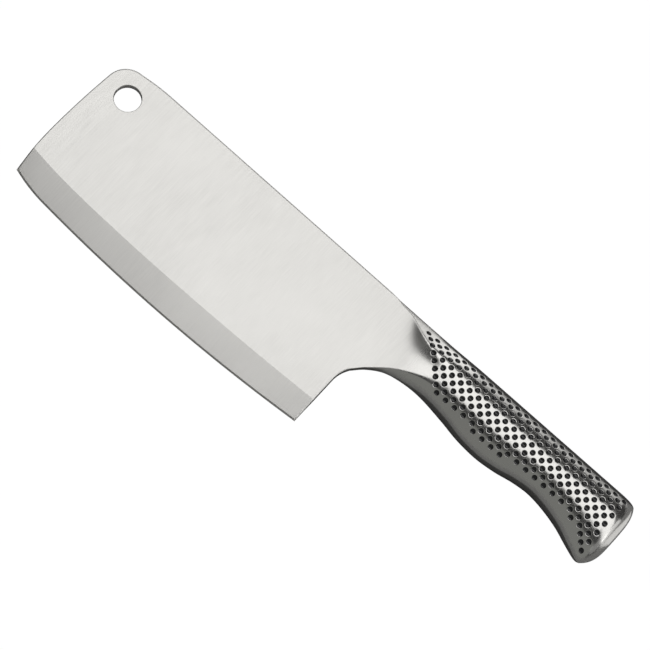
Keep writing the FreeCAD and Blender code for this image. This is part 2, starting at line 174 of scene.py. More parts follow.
def blend(x, start, end):
    """0 before start, 1 after end, and an S-curve between."""
    t = np.clip((x - start) / (end - start), 0.0, 1.0)
    return t * t * (3 - 2 * t)


def mix(a, b, share):
    return a + (b - a) * share


def soft_min(a, b, power):
    """Smaller of two heights, with their crossing rounded off."""
    a = np.maximum(a, TINY)
    b = np.maximum(b, TINY)
    return (a ** -power + b ** -power) ** (-1.0 / power)


def spine_y(x):
    """The spine line, which runs on along the blade's back at a slight slope."""
    return SPINE_Y + SPINE_STEP * (1 - blend(x, NECK_X, SHELL_START)) \
        + SPINE_SLOPE * np.maximum(NECK_X - x, 0.0)


def oval_height(x, y):
    """Half depth of the handle's own oval, faceted near the neck."""
    up = y >= CROWN_Y
    half = np.where(up, spine_y(x) - CROWN_Y, CROWN_Y - belly_y(np.maximum(x, NECK_X)))
    spine_power = mix(mix(SQUARE_POWER, SPINE_FACET, blend(x, *SPINE_FACET_IN)), OVAL_POWER,
                      blend(x, *SPINE_FACET_OUT))
    belly_power = mix(mix(SQUARE_POWER, BELLY_FACET, blend(x, *BELLY_FACET_IN)), OVAL_POWER,
                      blend(x, *BELLY_FACET_OUT))
    power = np.where(up, spine_power, belly_power)
    v = np.clip(np.abs(y - CROWN_Y) / half, 0.0, 1.0)
    return HALF_DEPTH * (1 - v ** power) ** (1 / power)


def cove_height(x, y):
    """Height of the ground cove that runs from the cheek up into the handle."""
    ahead = np.maximum(x - NECK_X, 0.0)
    rise = np.where(ahead < NECK_EASE, NECK_SLOPE * ahead ** 2 / (2 * NECK_EASE),
                    NECK_SLOPE * (ahead - NECK_EASE / 2))
    up = np.maximum(y - DISH_FOOT_Y, 0.0) / DISH_SPAN
    reach = soft_min(ahead, DISH_REACH, REACH_POWER)
    return CHEEK + rise + DISH_GROWTH * reach ** 2 * up ** DISH_POWER


def body_height(x, y):
    """Half depth of the neck and handle, butt left out."""
    power = mix(CREASE_POWER, SOFT_POWER, blend(x, *CREASE_OUT))
    return soft_min(oval_height(x, y), cove_height(x, y), power)


def butt_line(y):
    """X of the butt outline at y."""
    v = (y - BUTT_MID_Y) / BUTT_HALF_Y
    return BUTT_X - np.where(v > 0, DROP_SPINE, DROP_BELLY) * v ** 4


def butt_range(share, depth):
    """Lowest and highest y of the curved section that lies a share of the way to the butt."""
    tuck = (1 - depth) ** 2
    top = SPINE_Y - TUCK_SPINE * tuck
    bottom = np.full_like(share, belly_y(np.array([BUTT_START]))[0])
    for _ in range(RANGE_ROUNDS):
        bottom = belly_y(mix(BUTT_START, butt_line(bottom), share)) + TUCK_BELLY * tuck
    return bottom, top


BUTT_SPAN = BUTT_X - BUTT_START
ROUND_START = BUTT_START + BUTT_SPAN - BUTT_ROUND
LAST_STATION = ROUND_START + BUTT_ROUND * math.pi / 2


def butt_share(station):
    """Share of the way to the butt outline, and the depth left there."""
    turn = np.clip((station - ROUND_START) / BUTT_ROUND, 0.0, math.pi / 2)
    rounded = 1 - BUTT_ROUND / BUTT_SPAN * (1 - np.sin(turn))
    share = np.where(station > ROUND_START, rounded, (station - BUTT_START) / BUTT_SPAN)
    return np.maximum(share, 0.0), np.cos(turn)


def skin_point(station, phi):
    """Point of the left skin: station along the handle, phi from spine, 0, to belly, pi."""
    station, phi = np.broadcast_arrays(np.asarray(station, float), np.asarray(phi, float))
    turn = np.cos(phi)
    straight = station <= BUTT_START
    x = np.minimum(station, BUTT_START)
    y = CROWN_Y + turn * np.where(turn > 0, spine_y(x) - CROWN_Y,
                                  CROWN_Y - belly_y(np.maximum(x, NECK_X)))
    z = np.where(np.sin(phi) > FLAT_SINE, body_height(x, y), 0.0)
    share, depth = butt_share(station)
    bottom, top = butt_range(share, depth)
    y_butt = CROWN_Y + turn * np.where(turn > 0, top - CROWN_Y, CROWN_Y - bottom)
    x_butt = mix(BUTT_START, butt_line(y_butt), share)
    z_butt = HALF_DEPTH * np.sin(phi) * depth
    return np.stack([np.where(straight, x, x_butt), np.where(straight, y, y_butt),
                     np.where(straight, z, z_butt)], axis=-1)


def unit(vectors):
    return vectors / np.maximum(np.linalg.norm(vectors, axis=-1, keepdims=True), SHORTEST)


def grid_normals(function, along, turn):
    """Unit normals of a sheet given as function(along, turn), by small steps both ways."""
    turn = np.clip(turn, TURN_STEP, math.pi - TURN_STEP)
    ahead = function(along + ALONG_STEP, turn) - function(along - ALONG_STEP, turn)
    across = function(along, turn + TURN_STEP) - function(along, turn - TURN_STEP)
    return unit(np.cross(across, ahead))


def slope_normals(function, x, y, step):
    """Unit normals of the surface z = function(x, y), by small steps both ways."""
    slope_x = (function(x + step, y) - function(x - step, y)) / (2 * step)
    slope_y = (function(x, y + step) - function(x, y - step)) / (2 * step)
    return unit(np.stack([-slope_x, -slope_y, np.ones_like(slope_x)], axis=-1))


def skin_normal(station, phi):
    """Outward normal of the left skin, kept off its ends, where it has none."""
    station = np.minimum(station, LAST_STATION - 2 * ALONG_STEP)
    phi = np.clip(phi, 2 * TURN_STEP, math.pi - 2 * TURN_STEP)
    return grid_normals(skin_point, station, phi)


def crown_share(y, bottom, top):
    """Share of the way from the crown to the top or the bottom of a section."""
    return np.where(y > CROWN_Y, (y - CROWN_Y) / (top - CROWN_Y),
                    (CROWN_Y - y) / (CROWN_Y - bottom))


def height(x, y):
    """Height of the left skin above (x, y), butt included."""
    share = (x - BUTT_START) / (butt_line(y) - BUTT_START)
    left = (1 - share) * BUTT_SPAN
    turn_in = np.clip(1 - left / BUTT_ROUND, 0.0, 1.0)
    depth = np.sqrt(1 - turn_in ** 2)
    bottom, top = butt_range(np.clip(share, 0.0, 1.0), depth)
    v = crown_share(y, bottom, top)
    z_butt = HALF_DEPTH * np.sqrt(np.clip(1 - v ** 2, 0.0, 1.0)) * depth
    return np.where(x > BUTT_START, z_butt, body_height(np.minimum(x, BUTT_START), y))


def height_normal(x, y):
    return slope_normals(height, x, y, SKIN_STEP)


# ---------------- meshes

# Points are welded where they round to the same key; the offsets keep keys off round values.
WELD_KEYS = 2000.0
WELD_OFFSET = 0.1234567
CELL_KEYS = 1000
CELL_OFFSET = 0.123


class Surface:
    """Patches of points, normals and faces, welded into one mesh with sharp edges kept."""

    def __init__(self):
        self.points, self.normals, self.faces, self.count = [], [], [], 0

    def add(self, points, normals, faces):
        """Add a patch of triangles or of quads, each turned to face along its normals."""
        points = np.asarray(points, float).reshape(-1, 3)
        normals = np.broadcast_to(np.asarray(normals, float), points.shape)
        faces = np.asarray(faces, int)
        if not len(faces):
            return
        across = points[faces[:, 2]] - points[faces[:, 0]]
        along = points[faces[:, -1]] - points[faces[:, 1]]
        facing = np.cross(across, along)
        turned = (facing * normals[faces].sum(axis=1)).sum(axis=1) < 0
        faces = np.where(turned[:, None], faces[:, ::-1], faces)
        self.points.append(points)
        self.normals.append(normals)
        self.faces.append(faces + self.count)
        self.count += len(points)

    def add_grid(self, points, normals, keep=None):
        """Add a sheet of points, rows by columns; keep masks its quads."""
        rows, columns = points.shape[:2]
        normals = np.broadcast_to(normals, points.shape)
        corner = np.arange(rows * columns).reshape(rows, columns)[:-1, :-1]
        if keep is not None:
            corner = corner[keep]
        corner = corner.reshape(-1, 1)
        faces = corner + np.array([0, 1, columns + 1, columns])
        self.add(points.reshape(-1, 3), normals.reshape(-1, 3), faces)

    def add_strip(self, first, second, normals):
        """Add one row of quads between two lines of points."""
        points = np.stack([first, second])
        self.add_grid(points, np.broadcast_to(np.asarray(normals, float), points.shape))

    def sided(self, *signs):
        """Copy of the surface on its own side, 1, on the other, -1, or on both."""
        copy = Surface()
        for sign in signs:
            first = 0
            for points, normals, faces in zip(self.points, self.normals, self.faces):
                copy.add(points * (1, 1, sign), normals * (1, 1, sign), faces - first)
                first += len(points)
        return copy

    def build(self, name):
        """Mesh object in the row frame, its points welded and its normals kept."""
        points = np.vstack(self.points)
        normals = np.vstack(self.normals)
        keys = np.round(points * WELD_KEYS + WELD_OFFSET).astype(np.int64)
        _, first, inverse = np.unique(keys, axis=0, return_index=True, return_inverse=True)
        inverse = inverse.ravel()
        faces, corners = [], []
        for patch in self.faces:
            merged = inverse[patch]
            for face, source in zip(merged.tolist(), patch.tolist()):
                kept = [k for k in range(len(face)) if face[k] != face[k - 1]]
                ring = [face[k] for k in kept]
                if len(ring) < 3 or len(set(ring)) < len(ring):
                    continue
                faces.append(ring)
                corners += [source[k] for k in kept]
        mesh = bpy.data.meshes.new(name)
        mesh.from_pydata(to_row(points[first]).tolist(), [], faces)
        mesh.polygons.foreach_set("use_smooth", [True] * len(mesh.polygons))
        mesh.normals_split_custom_set((unit(normals[corners]) @ AXES.T).tolist())
        mesh.update()
        piece = bpy.data.objects.new(name, mesh)
        bpy.context.scene.collection.objects.link(piece)
        return piece


def show(surface, name, material, slot, *nodes):
    """Build a surface as a visible piece that stands for CAD nodes."""
    piece = surface.build(name)
    piece.data.materials.append(material)
    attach(piece, "root")
    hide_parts(*nodes)


# ---------------- blade

# Corners of the outline: x, y, radius of the arc to the next corner and the side that it
# bulges to (0 for a line).
OUTLINE = {
    "neck_high": (NECK_X, SPINE_Y + SPINE_STEP, 0.0, 0),
    "spine_front": (-133.0, 69.4, 105.0, 1),
    "nose_back": (-150.0, 68.2, 10.2, 1),
    "nose_front": (-160.1, 58.8, 394.0, 1),
    "front_mid": (-161.75, 24.0, 160.0, 1),
    "tip": (-160.0, 0.4, 77.0, 1),
    "sweep_end": (-142.0, -3.09, 846.5, 1),
    "heel_foot": (-0.3, -1.29, 0.0, 0),
    "heel_top": (-0.4, 23.0, 15.0, -1),
    "neck_low": (NECK_X, 31.1, 0.0, 0),
}
BACK_RUN = ("neck_high", "spine_front", "nose_back", "nose_front", "front_mid", "tip")
EDGE_RUN = ("tip", "sweep_end", "heel_foot")
HEEL_RUN = ("heel_foot", "heel_top")
NOTCH_RUN = ("heel_top", "neck_low")
SHOULDER = np.array([(-168.0, 13.0), (-142.0, 10.1), (-112.0, 8.9), (-82.0, 8.6),
                     (-41.0, 9.2), (4.0, 10.9)])
EDGE_HALF = 0.04
BEVEL_FOOT = 0.2
MICRO_WIDTH = 0.8
# Stretch of X over which the plain rim along the spine turns into the handle's facet.
FACET_FROM = -8.0
FACET_FULL = -3.0
BAND_ROWS = 36
BAND_STEPS = 20
NECK_ROWS = 96
NECK_STEPS = 24
RIM_ROWS = 10
RIM_SHARE = 0.8
OUTLINE_STEP = 2.0
OUTLINE_TURN = 0.05
OUTLINE_GAP = 0.5
HOLE_STEPS = 96
MERGE_DISTANCE = 1e-7

ROW_TURNS = np.pi * np.arange(NECK_ROWS + 1) / NECK_ROWS
RIM_SHARES = (1 - np.cos(ROW_TURNS[:RIM_ROWS + 1])) / (1 - np.cos(ROW_TURNS[RIM_ROWS]))
RIM = (spine_y(FACET_FROM) - CROWN_Y) * (1 - math.cos(ROW_TURNS[RIM_ROWS]))


def outline_side(name, following):
    """Points along one side of the outline, its end left out."""
    x, y, radius, side = OUTLINE[name]
    start = np.array([x, y])
    end = np.array(OUTLINE[following][:2])
    chord = end - start
    length = np.linalg.norm(chord)
    if not side:
        shares = np.arange(math.ceil(length / OUTLINE_STEP)) / math.ceil(length / OUTLINE_STEP)
        return start + shares[:, None] * chord
    away = math.sqrt(radius ** 2 - (length / 2) ** 2)
    centre = (start + end) / 2 + np.array([-chord[1], chord[0]]) / length * away * side
    sweep = 2 * math.asin(length / 2 / radius) * side
    steps = math.ceil(max(length / OUTLINE_STEP, abs(sweep) / OUTLINE_TURN))
    angles = math.atan2(*(start - centre)[::-1]) + sweep * np.arange(steps) / steps
    return centre + radius * np.column_stack([np.cos(angles), np.sin(angles)])


def run_points(names):
    sides = [outline_side(a, b) for a, b in zip(names, names[1:])]
    return np.vstack(sides + [np.array([OUTLINE[names[-1]][:2]])])


def inward(points):
    """Unit directions into the blade along a run of the outline."""
    along = np.gradient(points, axis=0)
    return unit(np.column_stack([-along[:, 1], along[:, 0]]))


def miter(first, first_width, second, second_width):
    """Step inwards at a corner that lies the two widths from its two sides."""
    return np.linalg.solve(np.array([first, second]), np.array([first_width, second_width]))


EDGE_LINE = run_points(EDGE_RUN)


def edge_y(x):
    """The cutting edge, carried on straight beyond the tip."""
    x0, y0 = EDGE_LINE[0]
    slope = (EDGE_LINE[1][1] - y0) / (EDGE_LINE[1][0] - x0)
    return np.where(x < x0, y0 + slope * (x - x0),
                    np.interp(x, EDGE_LINE[:, 0], EDGE_LINE[:, 1]))


def shoulder_y(x):
    return curve_through(SHOULDER, x)


def bevel_height(x, y):
    share = (y - edge_y(x)) / (shoulder_y(x) - edge_y(x))
    return mix(BEVEL_FOOT, CHEEK, share)


def micro_height(x, y):
    top = bevel_height(x, edge_y(x) + MICRO_WIDTH)
    return mix(EDGE_HALF, top, (y - edge_y(x)) / MICRO_WIDTH)


def blade_height(x, y):
    ground = np.minimum(bevel_height(x, y), micro_height(x, y))
    return np.minimum(CHEEK, np.maximum(ground, EDGE_HALF))


def band_point(x, phi):
    """Spine side of the cheek near the neck, where the plain rim turns into the facet."""
    x, phi = np.broadcast_arrays(np.asarray(x, float), np.asarray(phi, float))
    y = CROWN_Y + np.cos(phi) * (spine_y(x) - CROWN_Y)
    inside = np.clip(RIM - (spine_y(x) - y), 0.0, RIM)
    rounded = CHEEK - RIM + np.sqrt(RIM ** 2 - inside ** 2)
    faceted = np.where(np.sin(phi) > FLAT_SINE, body_height(x, y), 0.0)
    z = mix(rounded, faceted, blend(x, FACET_FROM, FACET_FULL))
    return np.stack([x, y, z], axis=-1)


def inside_loops(points, starts, ends):
    """Whether each point lies inside closed loops given as edges, by counting crossings."""
    count = np.zeros(len(points), int)
    px, py = points[:, 0], points[:, 1]
    for (ax, ay), (bx, by) in zip(starts, ends):
        spans = (ay > py) != (by > py)
        if ay != by:
            count += spans & (px < ax + (py - ay) * (bx - ax) / (by - ay))
    return count % 2 == 1


def triangulate(places, edges):
    """Triangles between places in the plane, with the edges kept."""
    flat = [Vector((float(x), float(y))) for x, y in places]
    result = delaunay_2d_cdt(flat, edges, [], 0, MERGE_DISTANCE)
    source = np.array([group[0] if group else -1 for group in result[3]])
    faces = source[np.array(result[2], int)]
    return faces[(faces >= 0).all(axis=1)]


def loop_edges(first, count):
    return [(first + i, first + (i + 1) % count) for i in range(count)]


def rim_strip(surface, points, steps, across, ground, end_rows=None):
    """Rounded or ground strip along a run of the outline, and half of its side wall."""
    places = points[:, None] + steps[:, None] * RIM_SHARES[None, :, None]
    z = blade_height(places[..., 0], places[..., 1])
    faces_up = slope_normals(blade_height, *(points + steps).T, GRIND_STEP)
    turn = 1 - RIM_SHARES
    round_off = 1 - np.sqrt(1 - turn ** 2)
    radius = np.minimum(RIM, RIM_SHARE * z[:, -1:])
    rounding = np.ones(len(points))
    if ground:
        rounding[1:-1] = 0.0
    z = z - radius * round_off * rounding[:, None]
    sheet = np.dstack([places, z])
    outward = np.column_stack([-across, np.zeros(len(across))])
    if ground:
        rise = (z[:, -1] - z[:, 0]) / MICRO_WIDTH
        tilt = unit(outward * rise[:, None] + (0, 0, 1))
        normals = np.repeat(tilt[:, None], RIM_ROWS + 1, axis=1)
    else:
        normals = outward[:, None] * turn[None, :, None] \
            + faces_up[:, None] * np.sqrt(1 - turn ** 2)[None, :, None]
        normals = unit(normals)
    if end_rows is not None:
        sheet[-1], normals[-1] = end_rows
    surface.add_grid(sheet, normals)
    wall = np.stack([sheet[:, 0], sheet[:, 0] * (1, 1, 0)])
    surface.add_grid(wall, np.broadcast_to(outward, wall.shape))
    return sheet[:, -1]


def split_where(points, steps, across, function):
    """Add a sample where the inner line of a strip crosses function = 0."""
    value = function(*(points + steps).T)
    k = int(np.nonzero(np.sign(value[1:]) != np.sign(value[:-1]))[0][0])
    share = value[k] / (value[k] - value[k + 1])
    arrays = []
    for array in (points, steps, across):
        arrays.append(np.insert(array, k + 1, mix(array[k], array[k + 1], share), axis=0))
    return arrays


def make_blade(material):
    """Blade with its rims, grinds, hanging hole and swelling neck."""
    half = Surface()
    back = run_points(BACK_RUN)
    back = np.vstack([[FACET_FROM, spine_y(FACET_FROM)],
                      back[back[:, 0] < FACET_FROM - OUTLINE_GAP]])
    edge, heel, notch = run_points(EDGE_RUN), run_points(HEEL_RUN), run_points(NOTCH_RUN)
    across = [inward(run) for run in (back, edge, heel, notch)]
    steps = [across[0] * RIM, across[1] * MICRO_WIDTH, across[2] * RIM, across[3] * RIM]
    steps[0][0] = (0.0, -RIM)
    tip = miter(across[0][-1], RIM, across[1][0], MICRO_WIDTH)
    foot = miter(across[1][-1], MICRO_WIDTH, across[2][0], RIM)
    top = miter(across[2][-1], RIM, across[3][0], RIM)
    steps[0][-1] = steps[1][0] = tip
    steps[1][-1] = steps[2][0] = foot
    steps[2][-1] = steps[3][0] = top
    neck_low_rows = skin_point(NECK_X, math.pi - ROW_TURNS[:RIM_ROWS + 1])
    steps[3][-1] = (0.0, neck_low_rows[-1][1] - neck_low_rows[0][1])

    def above(x, y):
        return y - shoulder_y(x)

    back_parts = split_where(back, steps[0], across[0], above)
    heel_parts = split_where(heel, steps[2], across[2], above)
    neck_x = np.linspace(NECK_X, NECK_END, NECK_STEPS + 1)[:, None]
    neck = skin_point(neck_x, ROW_TURNS)
    neck_normals = grid_normals(skin_point, neck_x, ROW_TURNS)
    last = (neck_low_rows, neck_normals[0][::-1][:RIM_ROWS + 1])
    inner = [
        rim_strip(half, *back_parts, False),
        rim_strip(half, edge, steps[1], across[1], True),
        rim_strip(half, *heel_parts, False),
        rim_strip(half, notch, steps[3], across[3], False, last),
    ]
    band_x = np.linspace(FACET_FROM, NECK_X, BAND_STEPS + 1)[:, None]
    band = band_point(band_x, ROW_TURNS[:BAND_ROWS + 1])
    band_normals = grid_normals(band_point, band_x, ROW_TURNS[:BAND_ROWS + 1])
    half.add_grid(band, band_normals)
    half.add_strip(band[:, 0], band[:, 0] * (1, 1, 0), (0, 1, 0))
    half.add_grid(neck, neck_normals)

    loop = np.vstack([run[:-1] for run in inner]
                     + [neck[0, BAND_ROWS + 1:NECK_ROWS - RIM_ROWS + 1][::-1]]
                     + [band[::-1, BAND_ROWS]]
                     + [band[0, RIM_ROWS + 1:BAND_ROWS][::-1]])
    turns = np.linspace(0, 2 * math.pi, HOLE_STEPS, endpoint=False)
    circle = np.column_stack([np.cos(turns), np.sin(turns), 0 * turns])
    centre = np.array([*HOLE, CHEEK])
    rim = centre + circle * (HOLE_RADIUS + HOLE_CHAMFER)
    throat = centre - (0, 0, HOLE_CHAMFER) + circle * HOLE_RADIUS
    on_line = np.abs(above(loop[:, 0], loop[:, 1])) < TINY
    front_end, heel_end = sorted(np.nonzero(on_line)[0], key=lambda i: loop[i, 0])
    line_x = inner[1][1:-1, 0]
    line_x = line_x[(line_x > loop[front_end, 0] + OUTLINE_GAP)
                    & (line_x < loop[heel_end, 0] - OUTLINE_GAP)]
    line = np.column_stack([line_x, shoulder_y(line_x), np.full_like(line_x, CHEEK)])
    places = np.vstack([loop, rim, line])
    chain = [int(front_end)] + [len(loop) + len(rim) + i for i in range(len(line))] \
        + [int(heel_end)]
    edges = loop_edges(0, len(loop)) + loop_edges(len(loop), len(rim)) \
        + list(zip(chain, chain[1:]))
    faces = triangulate(places[:, :2], edges)
    middle = places[faces][:, :, :2].mean(axis=1)
    walls = np.array(edges[:len(loop) + len(rim)])
    kept = inside_loops(middle, places[walls[:, 0], :2], places[walls[:, 1], :2])
    low = above(middle[:, 0], middle[:, 1]) < 0
    half.add(places, (0, 0, 1), faces[kept & ~low])
    half.add(places, slope_normals(bevel_height, places[:, 0], places[:, 1], GRIND_STEP),
             faces[kept & low])

    ring = np.arange(HOLE_STEPS + 1) % HOLE_STEPS
    half.add_strip(rim[ring], throat[ring], unit(-circle + (0, 0, 1))[ring][None])
    half.add_strip(throat[ring], (throat * (1, 1, 0))[ring], -circle[ring][None])
    half.add_strip(neck[-1], neck[-1] * (1, 1, 0), (1, 0, 0))
    show(half.sided(1, -1), "ground_blade", material, "blade_steel", "blade")


# ---------------- handle

HANDLE_ROWS = 72
STATION_STEP = 0.6
WALL = 1.2
END_TURN = math.acos(SEAM_HALF / HALF_DEPTH)
SHELL_END = ROUND_START + BUTT_ROUND * END_TURN
SEAM_TURN_CAP = 0.12
SEAM_TURN_LIMIT = 0.6
INNER_Y_SHARE = 0.92
INNER_Z_SHARE = 0.85
# The table of distances along the skin: its range of X, of Y and of distance, and steps.
TABLE_START_X = 8.0
TABLE_TOP_Y = SPINE_Y - 0.4
TABLE_END_Y = 31.0
TABLE_RANGE_S = (-3.0, 40.0)
TABLE_STEP_X = 0.4
TABLE_STEP_Y = 0.05
TABLE_STEP_S = 0.1
# How far the last cell that is read keeps from the table's end, in columns.
TABLE_END_GAP = 1.001
CELL = PIT_STEP
CELL_STEPS = 7
CELL_MARGIN = 0.5
SEAM_COLUMNS = 3
CAP_ROWS = 4
PLUG_STEPS = 48
PLUG_RINGS = ((0.0, 0.02), (1.2, 0.02), (2.2, 0.02), (2.4, 0.012), (2.5, -0.02))


def closing_point(points):
    """Hidden inner side of the wall behind points of the skin."""
    x, y, z = np.moveaxis(points, -1, 0)
    inner_x = np.where(x > BUTT_START, mix(BUTT_START, x, 1 - WALL / BUTT_SPAN), x)
    inner_y = mix(CROWN_Y, y, INNER_Y_SHARE)
    inner_z = mix(np.minimum(z, SEAM_HALF), z, INNER_Z_SHARE)
    return np.stack([inner_x, inner_y, inner_z], axis=-1)


def seam_turn(station, from_belly):
    """Section angle at which the skin comes within the seam weld's half width."""
    low = np.zeros_like(station)
    high = np.full_like(station, SEAM_TURN_LIMIT)
    for _ in range(HALVINGS):
        middle = (low + high) / 2
        phi = math.pi - middle if from_belly else middle
        inside = skin_point(station, phi)[..., 2] < SEAM_HALF
        low, high = np.where(inside, middle, low), np.where(inside, high, middle)
    return np.where(station > BUTT_START, np.minimum(low, SEAM_TURN_CAP), low)


class SkinTable:
    """Distances along the skin below the top row of dimples, at constant x."""

    def __init__(self):
        self.x = np.arange(TABLE_START_X, BUTT_X, TABLE_STEP_X)
        self.y = np.arange(TABLE_TOP_Y, TABLE_END_Y, -TABLE_STEP_Y)
        z = body_height(self.x[:, None], self.y[None, :])
        steps = np.hypot(np.diff(z, axis=1), TABLE_STEP_Y)
        down = np.cumsum(np.hstack([np.zeros((len(self.x), 1)), steps]), axis=1)
        start = np.array([np.interp(PIT_TOP_Y, self.y[::-1], row[::-1]) for row in down])
        self.down = down - start[:, None]
        self.s = np.arange(*TABLE_RANGE_S, TABLE_STEP_S)
        self.table = np.array([np.interp(self.s, row, self.y) for row in self.down])

    def _read(self, table, x, column):
        i = np.clip((x - self.x[0]) / TABLE_STEP_X, 0, len(self.x) - TABLE_END_GAP)
        i0, j0 = i.astype(int), column.astype(int)
        i1, j1 = i - i0, column - j0
        return ((table[i0, j0] * (1 - j1) + table[i0, j0 + 1] * j1) * (1 - i1)
                + (table[i0 + 1, j0] * (1 - j1) + table[i0 + 1, j0 + 1] * j1) * i1)

    def y_at(self, x, s):
        column = np.clip((s - self.s[0]) / TABLE_STEP_S, 0, len(self.s) - TABLE_END_GAP)
        return self._read(self.table, x, column)

    def s_at(self, x, y):
        column = np.clip((self.y[0] - y) / TABLE_STEP_Y, 0, len(self.y) - TABLE_END_GAP)
        return self._read(self.down, x, column)


def pit_places():
    """Dimple centres: x, and the distance along the skin below the top row."""
    places = []
    for row in range(PIT_ROWS):
        full = row < FULL_ROWS
        spans = [(0.0, PIT_LAST_X)] if full else \
            [(low, high) for number, low, high in LOW_ROWS if number == row]
        x = PIT_X + (row if full else row % 2) * PIT_STEP
        while x <= PIT_LAST_X:
            if any(low <= x <= high for low, high in spans):
                places.append((x, row * PIT_STEP))
            x += PIT_PITCH
    return np.array(places)


def cell_boundary():
    """Corners and side points of a square cell that stands on its corner."""
    corners = CELL * np.array([(1, 0), (0, 1), (-1, 0), (0, -1), (1, 0)])
    shares = np.arange(CELL_STEPS) / CELL_STEPS
    sides = [a + shares[:, None] * (b - a) for a, b in zip(corners, corners[1:])]
    return np.vstack(sides)


def pit_rings(rings, places, table):
    """Points and normals of rings round each dimple centre: pits, rings, steps."""
    boundary = cell_boundary()
    directions = unit(boundary)
    radius = np.array([ring[0] for ring in rings])
    depth = np.array([ring[1] for ring in rings])
    slope = np.gradient(depth, radius)
    slope[0] = slope[-1] = 0.0
    local = radius[:, None, None] * directions[None]
    x = places[:, 0, None, None] + local[None, ..., 0]
    s = places[:, 1, None, None] + local[None, ..., 1]
    y = table.y_at(x, s)
    skin = np.stack([x, y, height(x, y)], axis=-1)
    normals = height_normal(x, y)
    centre = skin[:, :1, :1]
    outward = skin - centre
    outward -= normals * (outward * normals).sum(axis=-1, keepdims=True)
    outward = unit(outward)
    points = skin - normals * depth[None, :, None, None]
    tilted = unit(normals + outward * slope[None, :, None, None])
    return points, np.where(depth[None, :, None, None] > 0, tilted, normals)


def add_rings(surface, points, normals):
    """Join the rings of every dimple with quads, with one point in its middle."""
    steps = points.shape[2]
    ring = np.arange(steps + 1) % steps
    for sheet, directions in zip(points, normals):
        surface.add_grid(sheet[:, ring], directions[:, ring])


def make_shell_half(places, table):
    """Left skin of the handle with its dimples pressed in, and its hidden inner side."""
    straight = np.linspace(SHELL_START, BUTT_START,
                           round((BUTT_START - SHELL_START) / STATION_STEP) + 1)
    ending = np.linspace(BUTT_START, SHELL_END,
                         round((SHELL_END - BUTT_START) / STATION_STEP) + 1)
    station = np.concatenate([straight, ending[1:]])
    top = seam_turn(station, False)
    bottom = math.pi - seam_turn(station, True)
    phi = mix(top[:, None], bottom[:, None], np.linspace(0, 1, HANDLE_ROWS + 1))
    stations = np.broadcast_to(station[:, None], phi.shape)
    skin = skin_point(stations, phi)
    normals = skin_normal(stations, phi)
    x, y = skin[..., 0], skin[..., 1]
    s = table.s_at(x, y)
    near = np.zeros(x.shape, bool)
    for px, ps in places:
        near |= np.abs(x - px) + np.abs(s - ps) < CELL + CELL_MARGIN
    gone = near[:-1, :-1] | near[1:, :-1] | near[:-1, 1:] | near[1:, 1:]
    shell = Surface()
    shell.add_grid(skin, normals, ~gone)

    # Stitch the gap between the grid and the cells of the dimples.
    columns = skin.shape[1]
    count = {}
    for r, c in zip(*np.nonzero(gone)):
        a = int(r * columns + c)
        for edge in ((a, a + 1), (a + 1, a + columns + 1), (a + columns, a + columns + 1),
                     (a, a + columns)):
            count[edge] = count.get(edge, 0) + 1
    grid_edges = [edge for edge, uses in count.items() if uses == 1]
    used = sorted({i for edge in grid_edges for i in edge})
    renamed = {i: k for k, i in enumerate(used)}
    flat_skin, flat_normals = skin.reshape(-1, 3)[used], normals.reshape(-1, 3)[used]
    boundary = cell_boundary()
    steps = len(boundary)
    cell_x = places[:, 0, None] + boundary[None, :, 0]
    cell_s = places[:, 1, None] + boundary[None, :, 1]
    cell_places = np.stack([cell_x, cell_s], axis=-1).reshape(-1, 2)
    keys = np.round(cell_places * CELL_KEYS + CELL_OFFSET)
    _, first, inverse = np.unique(keys.astype(int), axis=0, return_index=True,
                                  return_inverse=True)
    inverse = inverse.reshape(len(places), steps)
    uses = {}
    for ring in inverse:
        for k in range(steps):
            edge = tuple(sorted((int(ring[k]), int(ring[(k + 1) % steps]))))
            uses[edge] = uses.get(edge, 0) + 1
    cell_edges = [edge for edge, number in uses.items() if number == 1]
    needed = sorted({i for edge in cell_edges for i in edge})
    numbered = {i: k + len(used) for k, i in enumerate(needed)}
    chosen = first[needed]
    x = cell_x.reshape(-1)[chosen]
    y = table.y_at(x, cell_s.reshape(-1)[chosen])
    points = np.vstack([flat_skin, np.column_stack([x, y, height(x, y)])])
    directions = np.vstack([flat_normals, height_normal(x, y)])
    edges = [(renamed[a], renamed[b]) for a, b in grid_edges] \
        + [(numbered[a], numbered[b]) for a, b in cell_edges]
    faces = triangulate(points[:, :2], edges)
    ends = np.array(edges)
    middle = points[faces][:, :, :2].mean(axis=1)
    kept = inside_loops(middle, points[ends[:, 0], :2], points[ends[:, 1], :2])
    shell.add(points, directions, faces[kept])

    rings, ring_normals = pit_rings(PIT_RINGS, places, table)
    y = table.y_at(cell_x, cell_s)
    outer = np.stack([cell_x, y, height(cell_x, y)], axis=-1)[:, None]
    outer_normals = height_normal(cell_x, y)[:, None]
    add_rings(shell, np.concatenate([rings, outer], axis=1),
              np.concatenate([ring_normals, outer_normals], axis=1))

    inner = closing_point(skin)
    shell.add_grid(inner, -normals)
    shell.add_strip(skin[0], inner[0], (-1, 0, 0))
    shell.add_strip(skin[-1], inner[-1], (0, 0, -1))
    shell.add_strip(skin[:, 0], inner[:, 0], (0, 0, -1))
    shell.add_strip(skin[:, -1], inner[:, -1], (0, 0, -1))
    return shell, station, top, bottom


def make_shells(material, places, table):
    left, station, top, bottom = make_shell_half(places, table)
    show(left, "left_shell", material, "handle_steel", "handle_shell_left")
    show(left.sided(-1), "right_shell", material, "handle_steel", "handle_shell_right")
    return station, top, bottom


